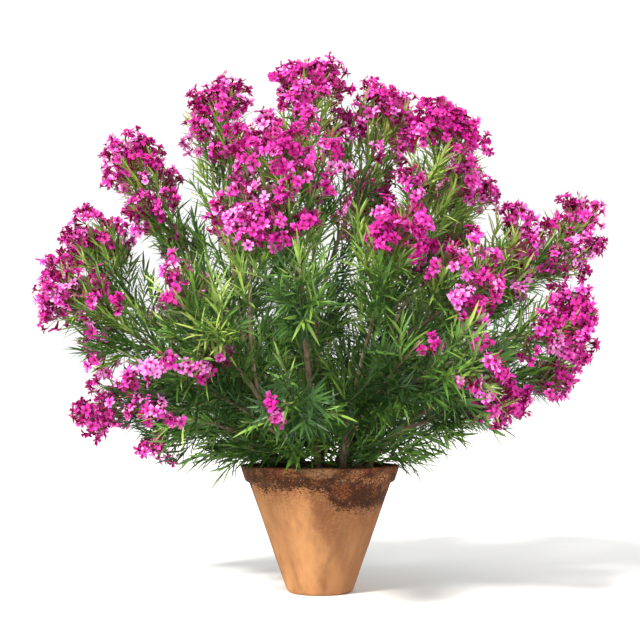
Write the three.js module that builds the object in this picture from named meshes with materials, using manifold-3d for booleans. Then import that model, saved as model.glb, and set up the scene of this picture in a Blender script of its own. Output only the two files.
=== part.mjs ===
// A potted oleander: a flowering shrub of many canes in a tapered clay pot.
// Units are millimetres, +Z is up, +X is to the right and -Y is the front.
// The origin is the centre of the pot's flat underside.
//
// Canes rise from the soil, boughs leave the canes, and every cane and bough ends in a
// mass: a stem with side shoots, whorled leaves and blooms fused into one solid. Each
// cane, bough and mass is worked out from the short table of canes below.

import * as THREE from 'three';
import { mergeVertices } from 'three/addons/utils/BufferGeometryUtils.js';
import Module from 'manifold-3d';

const wasm = await Module();
wasm.setup();

// ---- Driving dimensions ----

const GAP = 0.3; // between one solid and another that it is seated on
const CLEARANCE = 1; // from a twig, leaf or bloom to another limb, mass or the pot

const POT = {
  height: 393,
  rimRadius: 250,
  collarHeight: 50,
  collarFootRadius: 234,
  bodyTopRadius: 221,
  footRadius: 103,
  footRound: 7,
  lip: 4,
  wall: 17,
  rimWidth: 27,
  floor: 22,
  facets: 32,
};

const SOIL = { drop: 34 }; // drop: from the rim down to the soil

const CANE = {
  share: 0.48, // the part of a cane's line that is cane; the rest is its crowning mass
  tipRadius: 7,
  flare: 0.45, // how much wider the foot is, as a share of the girth
  flareHeight: 28,
  lean: 0.6, // how far the foot turns from upright towards the tip
  rootHandle: 0.42,
  tipHandle: 0.3,
  sides: 6,
  rings: 6,
};

const BOUGH = {
  share: 0.38,
  slimmer: 0.8, // its root against the cane it leaves
  tipRadius: 6,
  sides: 5,
  rings: 4,
};

// The stem of a mass has a shoot and two leaves at each knot between its ends.
const STEM = { rootRadius: 6.4, tipRadius: 4.8, sides: 3, knots: 5, whorls: [0.5, 1.5, 2.5] };

const SHOOT = {
  radius: 2.4,
  sides: 3,
  knots: 2,
  whorls: [0.9], // where leaves ring it, counted in knots
  spread: 44, // degrees off the stem
  base: 90,
  growth: 0.7, // its length is base plus this share of the stem that is left
  cutBack: [1, 0.8, 0.62, 0.48], // the shares of that length tried until one has room
  sway: 8, // degrees either way round the stem
  follow: 0.5, // how far it bends back along the stem
};

const LEAF = {
  length: 275,
  width: 84,
  thickness: 6,
  belly: 0.42, // where it is widest
  arch: 0.06,
  spread: 50, // degrees off the twig
  sway: 30, // degrees either way round the twig
  cutBack: [1, 0.8, 0.66, 0.55],
};

// A bloom stands for a whole truss of flowers: a five-lobed head on the end of a twig.
const BLOOM = {
  lobes: 5,
  radius: 78,
  notch: 0.66, // the radius between two lobes, as a share
  dome: 26, // from the widest ring forward to the crown of the head
  depth: 46, // from the widest ring back to the base
  aside: 10, // the base is this far off the twig's axis
  cutBack: [1, 0.8],
};

const HUB = new THREE.Vector3(0, 0, 470); // the tips of the crown point away from here
const HEART = new THREE.Vector3(0, 0, 760); // a mass reaches no farther from here than its tip
const DROOP = 60; // nor lower than this below its tip and its start
const SPREAD = { widest: 215, root: 1.9 }; // a mass spreads this much wider at its root

// Each cane: the azimuth of its foot (0 is +X, 90 is the back), its distance from the
// pot's axis, its radius, and its masses. The first mass crowns the cane. Each other one
// leaves the cane at `from`, a share of the cane, on a bough, or straight from the
// cane's side where `bough` is false. A mass's tip is given by azimuth, reach from the
// axis and height above the ground. `lift` turns the tip up, or down below 0, `bloom` is
// the share of its shoots in flower and `spread` how far it reaches from its stem there.
const CANES = [
  {
    name: 'left_low', azimuth: 192, foot: 112, girth: 11, lean: 0.3,
    masses: [
      { name: 'left_foot', azimuth: 200, reach: 545, height: 450, lift: -0.6, bloom: 0.1,
        spread: 110 },
      { name: 'left_low', azimuth: 171, reach: 822, height: 552, lift: -0.3, bloom: 1,
        spread: 140, from: 0.5, bough: false },
    ],
  },
  {
    name: 'left', azimuth: 168, foot: 88, girth: 13,
    masses: [
      { name: 'left_mid', azimuth: 184, reach: 897, height: 965, lift: 0, bloom: 1,
        spread: 140 },
      { name: 'left_upper', azimuth: 163, reach: 890, height: 1195, lift: 0.2, bloom: 1,
        spread: 160, from: 0.62 },
      { name: 'left_inner', azimuth: 205, reach: 400, height: 800, lift: 0.3, bloom: 0,
        spread: 215, from: 0.25, bough: false },
    ],
  },
  {
    name: 'left_high', azimuth: 150, foot: 40, girth: 13,
    masses: [
      { name: 'left_spike', azimuth: 176, reach: 665, height: 1452, lift: 0.2, bloom: 1,
        spread: 125 },
      { name: 'left_top', azimuth: 188, reach: 350, height: 1628, lift: 0.4, bloom: 1,
        spread: 135, from: 0.66 },
    ],
  },
  {
    name: 'top', azimuth: 84, foot: 42, girth: 14,
    masses: [
      { name: 'top', azimuth: 215, reach: 55, height: 1700, lift: 0.2, bloom: 1,
        spread: 170 },
      { name: 'top_right', azimuth: 28, reach: 275, height: 1660, lift: 0.3, bloom: 1,
        spread: 160, from: 0.7 },
    ],
  },
  {
    name: 'right_high', azimuth: 12, foot: 42, girth: 14,
    masses: [
      { name: 'right_high', azimuth: 18, reach: 565, height: 1402, lift: 0.2, bloom: 1,
        spread: 125 },
      { name: 'right_top', azimuth: 336, reach: 458, height: 1512, lift: 0.4, bloom: 1,
        spread: 135, from: 0.66 },
    ],
  },
  {
    name: 'right', azimuth: 358, foot: 100, girth: 14,
    masses: [
      { name: 'right_wide', azimuth: 7, reach: 932, height: 1240, lift: 0.2, bloom: 1,
        spread: 130 },
      { name: 'right_mid', azimuth: 350, reach: 875, height: 878, lift: 0, bloom: 1,
        spread: 145, from: 0.6 },
      { name: 'right_upper', azimuth: 350, reach: 678, height: 1165, lift: 0.3, bloom: 1,
        spread: 145, from: 0.85, bough: false },
    ],
  },
  {
    name: 'right_low', azimuth: 340, foot: 115, girth: 12, lean: 0.5,
    masses: [
      { name: 'right_low', azimuth: 12, reach: 905, height: 710, lift: -0.1, bloom: 1,
        spread: 145 },
      { name: 'right_foot', azimuth: 342, reach: 675, height: 535, lift: -0.4, bloom: 0.8,
        spread: 120, from: 0.45, bough: false },
    ],
  },
  {
    name: 'front_left', azimuth: 236, foot: 105, girth: 13,
    masses: [
      { name: 'front_left_mid', azimuth: 236, reach: 720, height: 885, lift: 0.1, bloom: 0.4,
        spread: 215 },
      { name: 'front_left_low', azimuth: 224, reach: 765, height: 705, lift: 0, bloom: 0.5,
        spread: 160, from: 0.4, bough: false },
      { name: 'front_left_high', azimuth: 243, reach: 480, height: 1200, lift: 0.2, bloom: 0.6,
        spread: 210, from: 0.8 },
    ],
  },
  {
    name: 'front', azimuth: 268, foot: 80, girth: 13,
    masses: [
      { name: 'front_high', azimuth: 256, reach: 500, height: 1385, lift: 0.3, bloom: 1,
        spread: 210 },
      { name: 'front_mid', azimuth: 266, reach: 760, height: 940, lift: 0.1, bloom: 0.1,
        spread: 215, from: 0.55 },
      { name: 'front_low', azimuth: 263, reach: 775, height: 590, lift: 0, bloom: 0.2,
        spread: 215, from: 0.25, bough: false },
    ],
  },
  {
    name: 'front_right', azimuth: 304, foot: 105, girth: 14,
    masses: [
      { name: 'front_right_high', azimuth: 294, reach: 575, height: 1115, lift: 0.2, bloom: 0.8,
        spread: 210 },
      { name: 'front_right_mid', azimuth: 316, reach: 680, height: 970, lift: 0.1, bloom: 0.9,
        spread: 200, from: 0.7 },
      { name: 'front_right_low', azimuth: 308, reach: 800, height: 712, lift: 0, bloom: 0.5,
        spread: 180, from: 0.4, bough: false },
      { name: 'front_inner', azimuth: 296, reach: 640, height: 765, lift: 0.1, bloom: 0.5,
        spread: 210, from: 0.2, bough: false },
    ],
  },
  {
    name: 'back_left', azimuth: 124, foot: 105, girth: 13,
    masses: [
      { name: 'back_left_mid', azimuth: 132, reach: 800, height: 960, lift: 0.1, bloom: 0.8,
        spread: 215 },
      { name: 'back_left_low', azimuth: 128, reach: 760, height: 660, lift: 0, bloom: 0.5,
        spread: 210, from: 0.35, bough: false },
      { name: 'back_left_high', azimuth: 122, reach: 540, height: 1330, lift: 0.2, bloom: 1,
        spread: 215, from: 0.8 },
      { name: 'back_mid', azimuth: 95, reach: 800, height: 900, lift: 0.1, bloom: 0.6,
        spread: 215, from: 0.6 },
    ],
  },
  {
    name: 'back_right', azimuth: 52, foot: 105, girth: 13,
    masses: [
      { name: 'back_right_mid', azimuth: 52, reach: 810, height: 1020, lift: 0.1, bloom: 0.8,
        spread: 215 },
      { name: 'back_right_low', azimuth: 45, reach: 780, height: 680, lift: 0, bloom: 0.5,
        spread: 210, from: 0.4, bough: false },
      { name: 'back_right_high', azimuth: 64, reach: 510, height: 1380, lift: 0.2, bloom: 1,
        spread: 215, from: 0.8 },
      { name: 'back_low', azimuth: 88, reach: 790, height: 590, lift: 0, bloom: 0.3,
        spread: 215, from: 0.6, bough: false },
      { name: 'back_inner', azimuth: 90, reach: 380, height: 800, lift: 0.3, bloom: 0,
        spread: 215, from: 0.2, bough: false },
    ],
  },
];

const MATERIALS = {
  clay: new THREE.MeshStandardMaterial({ color: 0xb87c50, roughness: 0.85, metalness: 0 }),
  soil: new THREE.MeshStandardMaterial({ color: 0x3a2a1e, roughness: 0.95, metalness: 0 }),
  bark: new THREE.MeshStandardMaterial({ color: 0x6f6355, roughness: 0.85, metalness: 0 }),
  foliage: new THREE.MeshStandardMaterial({ color: 0x4d7a2c, roughness: 0.5, metalness: 0 }),
};

// ---- Small helpers ----

const UP = new THREE.Vector3(0, 0, 1);
const radians = THREE.MathUtils.degToRad;
const mix = THREE.MathUtils.lerp;

function polar(azimuth, reach, height) {
  const angle = radians(azimuth);
  return new THREE.Vector3(reach * Math.cos(angle), reach * Math.sin(angle), height);
}

function along(point, direction, distance) {
  return point.clone().addScaledVector(direction, distance);
}

// The unit direction a share of the way from one unit direction to another.
function between(from, to, share) {
  return from.clone().lerp(to, share).normalize();
}

// A repeatable stream of numbers from 0 to 1 (mulberry32).
function seeded(seed) {
  let state = seed >>> 0;
  return () => {
    state = (state + 0x6d2b79f5) >>> 0;
    let t = Math.imul(state ^ (state >>> 15), state | 1);
    t ^= t + Math.imul(t ^ (t >>> 7), t | 61);
    return ((t ^ (t >>> 14)) >>> 0) / 2 ** 32;
  };
}

// ---- Between three.js geometry and manifold-3d solids ----

function solidOf(geometry) {
  const bare = geometry.clone().deleteAttribute('normal').deleteAttribute('uv');
  const merged = mergeVertices(bare, 1e-3);
  return new wasm.Manifold(new wasm.Mesh({
    numProp: 3,
    vertProperties: merged.getAttribute('position').array,
    triVerts: new Uint32Array(merged.index.array),
  }));
}

function geometryOf(solid) {
  const { vertProperties, triVerts } = solid.getMesh();
  const geometry = new THREE.BufferGeometry();
  geometry.setAttribute('position', new THREE.BufferAttribute(vertProperties, 3));
  geometry.setIndex(new THREE.BufferAttribute(triVerts, 1));
  geometry.computeVertexNormals();
  return geometry;
}

// Joins solids into one, without any scrap or sealed hollow that the joining makes.
function fuse(solids) {
  const pieces = wasm.Manifold.union(solids).decompose();
  return pieces.reduce((largest, piece) => (piece.volume() > largest.volume() ? piece : largest));
}

// Moves every vertex of a geometry to the place that `place(vertex)` gives it.
function reshape(geometry, place) {
  const position = geometry.getAttribute('position');
  const vertex = new THREE.Vector3();
  for (let i = 0; i < position.count; i++) {
    vertex.fromBufferAttribute(position, i);
    const moved = place(vertex);
    position.setXYZ(i, moved.x, moved.y, moved.z);
  }
  return geometry;
}

// ---- Pot and soil ----

const COLLAR_FOOT = POT.height - POT.collarHeight;
const SOIL_TOP = POT.height - SOIL.drop;

// The inner wall runs parallel to the body, and then out to the rim inside the collar.
function innerRadius(height) {
  const bodyInner = POT.bodyTopRadius - POT.wall;
  const rimInner = POT.rimRadius - POT.rimWidth;
  const rise = (height - COLLAR_FOOT) / POT.collarHeight;
  if (rise > 0) return mix(bodyInner, rimInner, rise);
  return mix(POT.footRadius - POT.wall, bodyInner, height / COLLAR_FOOT);
}

function lathe(profile, facets) {
  const points = profile.map(([radius, height]) => new THREE.Vector2(radius, height));
  return solidOf(new THREE.LatheGeometry(points, facets).rotateX(Math.PI / 2));
}

function makePot() {
  const bevel = POT.lip * 1.5;
  const outside = [
    [0, 0],
    [POT.footRadius - POT.footRound, 0],
    [POT.footRadius, POT.footRound],
    [POT.bodyTopRadius, COLLAR_FOOT - bevel],
    [POT.collarFootRadius, COLLAR_FOOT],
    [POT.rimRadius, POT.height - POT.lip],
    [POT.rimRadius - POT.lip, POT.height],
  ];
  const inside = [
    [innerRadius(POT.height) + POT.lip, POT.height],
    [innerRadius(POT.height), POT.height - POT.lip],
    [innerRadius(COLLAR_FOOT), COLLAR_FOOT],
    [innerRadius(POT.floor), POT.floor],
    [0, POT.floor],
  ];
  return lathe([...outside, ...inside], POT.facets);
}

function makeSoil() {
  const bottom = POT.floor + GAP;
  const radiusAt = (height) => innerRadius(height) - 2 * GAP;
  const profile = [
    [0, bottom],
    [radiusAt(bottom), bottom],
    [radiusAt(COLLAR_FOOT), COLLAR_FOOT],
    [radiusAt(SOIL_TOP), SOIL_TOP],
    [0, SOIL_TOP],
  ];
  return lathe(profile, POT.facets);
}

// ---- Limbs: tapering solids swept along a line ----

// A unit frame across a line at a share of its length. Each line stays near one plane, so
// the frame is turned by that plane's normal and never twists.
function frameAcross(line, share) {
  const tangent = line.getTangent(share);
  const chord = line.getPoint(1).sub(line.getPoint(0));
  const normal = new THREE.Vector3().crossVectors(chord, UP);
  if (normal.length() < 0.05 * chord.length()) normal.set(1, 0, 0);
  const side = normal.addScaledVector(tangent, -normal.dot(tangent)).normalize();
  side.applyAxisAngle(tangent, line.roll ?? 0);
  return { tangent, side, cross: new THREE.Vector3().crossVectors(tangent, side) };
}

// The direction square to a line at an angle round it.
function radialOf({ side, cross }, angle) {
  return side.clone().multiplyScalar(Math.cos(angle)).addScaledVector(cross, Math.sin(angle));
}

// The part of a line from one share to another, with the radius that radiusAt(share) gives.
function sweep(line, from, to, radiusAt, sides, rings) {
  const tube = new THREE.CylinderGeometry(1, 1, 1, sides, rings);
  return solidOf(reshape(tube, (vertex) => {
    const share = mix(from, to, vertex.y + 0.5);
    const radius = radiusAt(share) * Math.hypot(vertex.x, vertex.z);
    const angle = Math.atan2(vertex.x, vertex.z);
    return along(line.getPoint(share), radialOf(frameAcross(line, share), angle), radius);
  }));
}

// A line from a start to a mass's tip, given its direction at the start.
function lineTo(start, direction, mass) {
  const tip = polar(mass.azimuth, mass.reach, mass.height);
  const outward = tip.clone().sub(HUB).normalize();
  const heading = between(outward, mass.lift < 0 ? UP.clone().negate() : UP, Math.abs(mass.lift));
  const end = along(tip, heading, -BLOOM.dome - 8);
  const span = start.distanceTo(end);
  return new THREE.CubicBezierCurve3(
    start,
    along(start, direction, span * CANE.rootHandle),
    along(end, heading, -span * CANE.tipHandle),
    end,
  );
}

function caneLine(cane) {
  const foot = polar(cane.azimuth, cane.foot, SOIL_TOP - CANE.flareHeight);
  const crown = cane.masses[0];
  const toTip = polar(crown.azimuth, crown.reach, crown.height).sub(foot).normalize();
  return lineTo(foot, between(UP, toTip, cane.lean ?? CANE.lean), crown);
}

function caneRadius(cane, line) {
  return (share) => {
    const rise = Math.max(line.getPoint(share).z - SOIL_TOP, 0);
    const flare = CANE.flare * cane.girth * Math.exp(-rise / CANE.flareHeight);
    return mix(cane.girth, CANE.tipRadius, Math.min(share / CANE.share, 1)) + flare;
  };
}

// ---- Leaves and blooms ----

// A lance-shaped blade of eight faces that lies along `direction`, with its root at `root`
// and its upper face towards `facing`.
function makeLeaf({ root, direction, facing, length }) {
  const side = new THREE.Vector3().crossVectors(facing, direction).normalize();
  const upper = new THREE.Vector3().crossVectors(direction, side);
  return solidOf(reshape(new THREE.OctahedronGeometry(1), (vertex) => {
    const [x, y, z] = vertex.toArray().map(Math.round);
    const share = x === 0 ? LEAF.belly : (x + 1) / 2;
    const arch = x === 0 ? LEAF.arch * length : 0;
    const spine = along(root, direction, share * length);
    const edge = along(spine, side, (y * LEAF.width) / 2);
    return along(edge, upper, (z * LEAF.thickness) / 2 + arch);
  }));
}

// A domed head of five lobes that faces along its twig, with the end of the twig sunk in
// its back at `centre`.
function makeBloom({ centre, frame, size }) {
  const cone = new THREE.ConeGeometry(1, 1, 2 * BLOOM.lobes);
  const lobeStep = Math.PI / BLOOM.lobes;
  return solidOf(reshape(cone, (vertex) => {
    const onRing = Math.hypot(vertex.x, vertex.z) > 0.5;
    const isBase = vertex.y > 0;
    const step = Math.round(Math.atan2(vertex.x, vertex.z) / lobeStep);
    const radius = onRing ? size * BLOOM.radius * (step % 2 === 0 ? 1 : BLOOM.notch) : 0;
    const forward = isBase ? -BLOOM.depth : (onRing ? 0 : BLOOM.dome);
    const point = along(centre, frame.tangent, size * forward);
    point.addScaledVector(radialOf(frame, -step * lobeStep), radius);
    return point.addScaledVector(frame.side, isBase ? BLOOM.aside : 0);
  }));
}

// ---- The plan: every cane and mass with its line ----

const canes = CANES.map((plan) => {
  const line = caneLine(plan);
  return { ...plan, line, radiusAt: caneRadius(plan, line) };
});

// A mass that leaves the side of a cane, on a bough or straight from it.
function branchOff(cane, plan) {
  const caneShare = plan.from * CANE.share;
  const start = cane.line.getPoint(caneShare);
  const toTip = polar(plan.azimuth, plan.reach, plan.height).sub(start).normalize();
  const line = lineTo(start, between(cane.line.getTangent(caneShare), toTip, 0.6), plan);
  const rootRadius = cane.radiusAt(caneShare) * BOUGH.slimmer;
  const radiusAt = (share) => mix(rootRadius, BOUGH.tipRadius, share / BOUGH.share);
  const hasBough = plan.bough !== false;
  return { ...plan, cane, line, radiusAt, hasBough, from: hasBough ? BOUGH.share : 0 };
}

const masses = canes.flatMap((cane) => {
  const [crown, ...others] = cane.masses;
  const leader = { ...crown, cane, line: cane.line, from: CANE.share, leads: true };
  return [leader, ...others.map((plan) => branchOff(cane, plan))];
});

const SPINE_STEPS = 8;
masses.forEach((mass, i) => {
  mass.random = seeded(i + 1);
  mass.line.roll = mass.random() * 2 * Math.PI;
  mass.tip = polar(mass.azimuth, mass.reach, mass.height);
  mass.spine = Array.from({ length: SPINE_STEPS + 1 }, (_, step) =>
    mass.line.getPoint(mix(mass.from, 1, step / SPINE_STEPS)));
});

// ---- Room: a mass keeps to its own space and clear of every other solid ----

function distanceToSpine(point, mass) {
  return Math.min(...mass.spine.map((knot) => knot.distanceTo(point)));
}

// How far a mass may spread from its stem at a point. It is widest at its root.
function spreadAt(point, mass) {
  const away = mass.spine.map((knot) => knot.distanceTo(point));
  const share = away.indexOf(Math.min(...away)) / SPINE_STEPS;
  return Math.min(mass.spread * mix(SPREAD.root, 1, share), SPREAD.widest);
}

// A mass's space is every point that lies nearer to its stem than to any other mass's and
// within its reach.
function isInSpace(point, mass) {
  if (point.distanceTo(HEART) > mass.tip.distanceTo(HEART)) return false;
  if (point.z < Math.min(mass.tip.z, mass.spine[0].z) - DROOP) return false;
  const own = distanceToSpine(point, mass);
  if (own > spreadAt(point, mass)) return false;
  return masses.every((other) => own <= distanceToSpine(point, other));
}

const standing = []; // every solid so far, with the limb or twig it is part of or grows on

function boxOf(solid) {
  const { min, max } = solid.boundingBox();
  return new THREE.Box3(new THREE.Vector3(...min), new THREE.Vector3(...max));
}

function stand(solid, twig) {
  standing.push({ solid, box: boxOf(solid), twig });
  return solid;
}

// True if a solid is clear of everything but the twigs it may touch.
function hasRoom(solid, ...twigs) {
  const box = boxOf(solid).expandByScalar(CLEARANCE);
  return standing
    .filter((other) => !twigs.includes(other.twig) && box.intersectsBox(other.box))
    .every((other) => solid.minGap(other.solid, 2 * CLEARANCE) >= CLEARANCE);
}

// ---- Growth ----

// A twig from a share of a line to its end. The twig is straight from knot to knot.
function makeTwig(line, from, { knots, sides }, radiusAt) {
  const shareAt = (step) => mix(from, 1, step / knots);
  const solid = sweep(line, from, 1, radiusAt, sides, knots);
  const pointAt = (step) => {
    const knot = Math.min(Math.floor(step), knots - 1);
    const [before, after] = [line.getPoint(shareAt(knot)), line.getPoint(shareAt(knot + 1))];
    return before.lerp(after, step - knot);
  };
  const frameAt = (step) => frameAcross(line, shareAt(step));
  return { solid, knots, pointAt, frameAt };
}

function growStem(mass) {
  const from = mass.from + GAP / mass.line.getLength();
  const radiusAt = (share) =>
    mix(STEM.rootRadius, STEM.tipRadius, (share - mass.from) / (1 - mass.from));
  mass.stem = makeTwig(mass.line, from, STEM, radiusAt);
  mass.solids = [stand(mass.stem.solid, mass.stem)];
  mass.shoots = [];
}

// The middle of one of a three-sided twig's faces, in degrees round it.
function faceAngle(face, sway, random) {
  return radians(120 * (face + 0.5) + sway * mix(-1, 1, random()));
}

// A side shoot's line. It leaves the mass's stem at an angle and bends back along it.
function shootLine(stem, knot, turn, cutBack) {
  const start = stem.pointAt(knot);
  const frame = stem.frameAt(knot);
  const leaving = between(frame.tangent, radialOf(frame, turn), SHOOT.spread / 90);
  const left = start.distanceTo(stem.pointAt(stem.knots));
  const length = (SHOOT.base + SHOOT.growth * left) * cutBack;
  const heading = between(leaving, frame.tangent, SHOOT.follow);
  const bend = along(start, leaving, length * 0.45);
  return new THREE.QuadraticBezierCurve3(start, bend, along(bend, heading, length * 0.55));
}

function growShoots(mass) {
  for (let knot = 1; knot < STEM.knots; knot++) {
    const turn = faceAngle(knot, SHOOT.sway, mass.random);
    for (const cutBack of SHOOT.cutBack) {
      const line = shootLine(mass.stem, knot, turn, cutBack);
      const end = along(line.getPoint(1), line.getTangent(1), BLOOM.dome);
      if (!isInSpace(end, mass)) continue;
      const shoot = makeTwig(line, 0, SHOOT, () => SHOOT.radius);
      if (!hasRoom(shoot.solid, mass.stem)) continue;
      mass.solids.push(stand(shoot.solid, shoot));
      mass.shoots.push(shoot);
      break;
    }
  }
}

// A leaf on one face of a twig.
function growLeaf(mass, twig, step, face) {
  const root = twig.pointAt(step);
  const frame = twig.frameAt(step);
  const radial = radialOf(frame, faceAngle(face, LEAF.sway, mass.random));
  const direction = between(frame.tangent, radial, LEAF.spread / 90);
  for (const cutBack of LEAF.cutBack) {
    const length = LEAF.length * cutBack;
    if (!isInSpace(along(root, direction, length), mass)) continue;
    const leaf = makeLeaf({ root, direction, facing: frame.tangent, length });
    if (!hasRoom(leaf, twig)) continue;
    mass.solids.push(stand(leaf, twig));
    return;
  }
}

function growWhorl(mass, twig, step) {
  for (const face of [0, 1, 2]) growLeaf(mass, twig, step, face);
}

// A twig ends in a bloom, or in a whorl of leaves where it doesn't flower.
function growTip(mass, twig) {
  const flowers = mass.random() < mass.bloom;
  const [centre, frame] = [twig.pointAt(twig.knots), twig.frameAt(twig.knots)];
  const bloom = BLOOM.cutBack
    .map((size) => makeBloom({ centre, frame, size }))
    .find((candidate) => hasRoom(candidate, twig));
  if (flowers && bloom) {
    mass.solids.push(stand(bloom, twig));
  } else {
    growWhorl(mass, twig, twig.knots - 0.15);
  }
}

function growLeaves(mass) {
  STEM.whorls.forEach((step) => growWhorl(mass, mass.stem, step));
  for (const shoot of mass.shoots) SHOOT.whorls.forEach((step) => growWhorl(mass, shoot, step));
  for (let knot = 1; knot < STEM.knots; knot++) {
    growLeaf(mass, mass.stem, knot, knot + 1);
    growLeaf(mass, mass.stem, knot, knot + 2);
  }
}

// ---- The finished object ----

const plant = new THREE.Group();

function addNode(name, solid, material) {
  const mesh = new THREE.Mesh(geometryOf(solid), material);
  mesh.name = name;
  plant.add(mesh);
}

addNode('pot', stand(makePot(), 'pot'), MATERIALS.clay);
addNode('soil', stand(makeSoil(), 'soil'), MATERIALS.soil);

for (const cane of canes) {
  const { line, radiusAt } = cane;
  const whole = sweep(line, 0, CANE.share, radiusAt, CANE.sides, CANE.rings);
  const wider = (share) => radiusAt(share) + GAP;
  cane.cutter = sweep(line, 0, CANE.share, wider, CANE.sides, CANE.rings);
  const solid = whole.trimByPlane([0, 0, 1], SOIL_TOP + GAP);
  addNode('cane_' + cane.name, stand(solid, cane), MATERIALS.bark);
}

for (const mass of masses.filter(({ hasBough }) => hasBough)) {
  const { line, radiusAt, cane } = mass;
  const whole = sweep(line, 0, BOUGH.share, radiusAt, BOUGH.sides, BOUGH.rings);
  const solid = fuse([whole.subtract(cane.cutter)]);
  addNode('bough_' + mass.name, stand(solid, 'boughs'), MATERIALS.bark);
}

masses.forEach(growStem);
masses.forEach(growShoots);
for (const mass of masses) [mass.stem, ...mass.shoots].forEach((twig) => growTip(mass, twig));
masses.forEach(growLeaves);

for (const mass of masses) {
  const whole = fuse(mass.solids);
  const fromCaneSide = !mass.leads && !mass.hasBough;
  const solid = fromCaneSide ? fuse([whole.subtract(mass.cane.cutter)]) : whole;
  addNode('mass_' + mass.name, solid, MATERIALS.foliage);
}

export default plant;
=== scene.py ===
import math
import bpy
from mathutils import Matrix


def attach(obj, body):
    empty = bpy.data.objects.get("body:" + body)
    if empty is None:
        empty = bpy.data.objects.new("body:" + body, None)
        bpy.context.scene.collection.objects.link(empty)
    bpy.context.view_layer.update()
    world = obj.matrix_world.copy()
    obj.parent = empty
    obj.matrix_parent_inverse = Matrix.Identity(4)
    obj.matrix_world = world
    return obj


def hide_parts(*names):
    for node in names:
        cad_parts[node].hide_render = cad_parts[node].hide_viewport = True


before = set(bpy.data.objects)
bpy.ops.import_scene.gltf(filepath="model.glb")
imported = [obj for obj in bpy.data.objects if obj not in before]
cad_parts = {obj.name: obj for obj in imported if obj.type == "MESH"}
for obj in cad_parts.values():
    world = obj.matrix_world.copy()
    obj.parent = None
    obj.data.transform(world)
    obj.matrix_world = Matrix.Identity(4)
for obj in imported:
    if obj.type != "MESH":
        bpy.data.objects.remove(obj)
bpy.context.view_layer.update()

from types import SimpleNamespace

import bpy
import numpy as np
from mathutils import Vector, noise
from numpy.linalg import norm, qr

# ---- The pot ----
# A thrown terracotta pot with a deep collar, of fired clay 17 mm thick, 500 mm across the rim.
# It is turned on a wheel, so it is round but for the slight waver of the thrower's hands, and
# years outdoors have left the collar and shoulder dark with algae, lime and damp.

POT_HEIGHT = 0.393
COLLAR_FOOT = 0.343
SOIL_TOP = 0.359
RIM_RADIUS = 0.250
POT_OUTSIDE = [  # radius, height and how far the corner is rounded off
    (0.000, 0.000, 0.000),
    (0.098, 0.000, 0.006),
    (0.105, 0.010, 0.005),
    (0.221, 0.336, 0.003),
    (0.234, COLLAR_FOOT, 0.004),
    (RIM_RADIUS, 0.391, 0.005),
]
POT_INSIDE = [
    (0.224, POT_HEIGHT, 0.006),
    (0.204, COLLAR_FOOT, 0.004),
    (0.092, 0.022, 0.010),
    (0.000, 0.022, 0.000),
]
POT_FACETS = 160
PROFILE_STEP = 0.007
OUT_OF_TRUE = 0.0008
GRAIN_DEPTH = 0.00035
CHIP_DEPTH = 0.0022


def unit(vectors):
    return vectors / norm(vectors, axis=-1, keepdims=True)


def mix(low, high, share):
    return low + (high - low) * share


def rolled(side, cross, angle):
    """Two directions square to each other, both turned by an angle."""
    return (side * np.cos(angle) + cross * np.sin(angle),
            cross * np.cos(angle) - side * np.sin(angle))


def rounded_profile(corners, step):
    """The points of a turned outline, with its corners rounded and its long runs divided."""
    corners = np.array(corners)
    outline = [corners[0, :2]]
    for before, corner, after in zip(corners, corners[1:], corners[2:]):
        middle, rounding = corner[:2], corner[2]
        start = middle + unit(before[:2] - middle) * rounding
        end = middle + unit(after[:2] - middle) * rounding
        for share in np.linspace(0, 1, 5):
            outline.append(mix(mix(start, middle, share), mix(middle, end, share), share))
    outline.append(corners[-1, :2])
    points = [outline[0]]
    for start, end in zip(outline, outline[1:]):
        pieces = max(1, math.ceil(norm(end - start) / step))
        points += [mix(start, end, (i + 1) / pieces) for i in range(pieces)]
    return np.array(points)


def grid_faces(rows, columns):
    """Triangles over a grid of points that closes on itself from the last column to the first."""
    row, column = np.meshgrid(np.arange(rows - 1), np.arange(columns), indexing="ij")
    row, column = row.ravel(), column.ravel()
    beside = (column + 1) % columns
    a, b = row * columns + column, row * columns + beside
    c, d = a + columns, b + columns
    return np.concatenate([np.stack([a, b, d], 1), np.stack([a, d, c], 1)])


def closed(points, sides, ends):
    """Rings of points closed by a fan to a point at each end: all its points and faces."""
    rings = len(points) // sides
    here, beside = np.arange(sides), (np.arange(sides) + 1) % sides
    last = (rings - 1) * sides
    faces = [grid_faces(rings, sides),
             np.stack([np.full(sides, len(points)), beside, here], 1),
             np.stack([np.full(sides, len(points) + 1), last + here, last + beside], 1)]
    return np.concatenate([points, ends]), np.concatenate(faces)


def turned(profile, facets):
    """The points and faces of a body turned about the upright axis, whose outline ends on it."""
    angle = math.tau * np.arange(facets) / facets
    rings = profile[1:-1]
    points = np.stack([
        rings[:, :1] * np.cos(angle),
        rings[:, :1] * np.sin(angle),
        np.repeat(rings[:, 1:], facets, 1),
    ], -1).reshape(-1, 3)
    return closed(points, facets, [[0, 0, profile[0, 1]], [0, 0, profile[-1, 1]]])


def waver(points, scale, stretch=(1, 1, 1)):
    """Smooth noise between about -1 and 1 at each point."""
    places = (points * scale * np.array(stretch)).reshape(-1, 3)
    return np.reshape([noise.noise(Vector(place)) for place in places], points.shape[:-1])


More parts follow.
